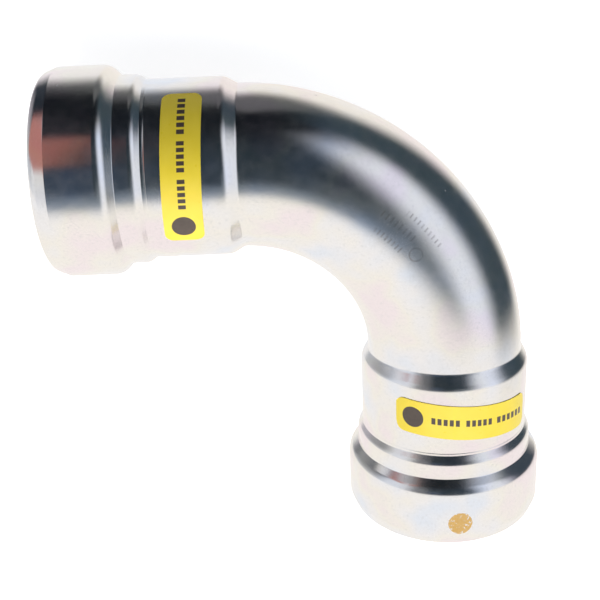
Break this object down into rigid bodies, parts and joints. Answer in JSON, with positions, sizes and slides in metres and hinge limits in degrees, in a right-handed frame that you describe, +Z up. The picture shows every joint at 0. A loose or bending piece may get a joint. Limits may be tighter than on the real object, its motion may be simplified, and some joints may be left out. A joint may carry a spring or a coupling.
{
  "type": "press fit pipe elbow",
  "caption": "Right-angle press elbow for steel pipe: a plated tube bent in one piece, each end a beaded press socket with toothed grip ring, separator, profile seal and a yellow press label.",
  "frame": {"origin": "the middle of the part's box on the surface that it lies on, under the open corner of the elbow", "axes": "-X out of the mouth of leg A, -Y out of the mouth of leg B, +Z up, square to the plane of the bend"},
  "size_m": [0.1314, 0.1314, 0.0546],
  "materials": {
    "plated_steel": "bright zinc-nickel plating on formed steel tube, faintly iridescent",
    "stainless": "bare stainless, satin",
    "seal": "moulded yellow rubber, satin",
    "label": "thin adhesive film, satin"
  },
  "bodies": {
    "root": {"elbow_body": "plated_steel", "grip_ring_a": "stainless", "grip_ring_b": "stainless", "separator_ring_a": "stainless", "separator_ring_b": "stainless", "seal_ring_a": "seal", "seal_ring_b": "seal", "press_label_a": "label", "press_label_b": "label"}
  },
  "joints": []
}
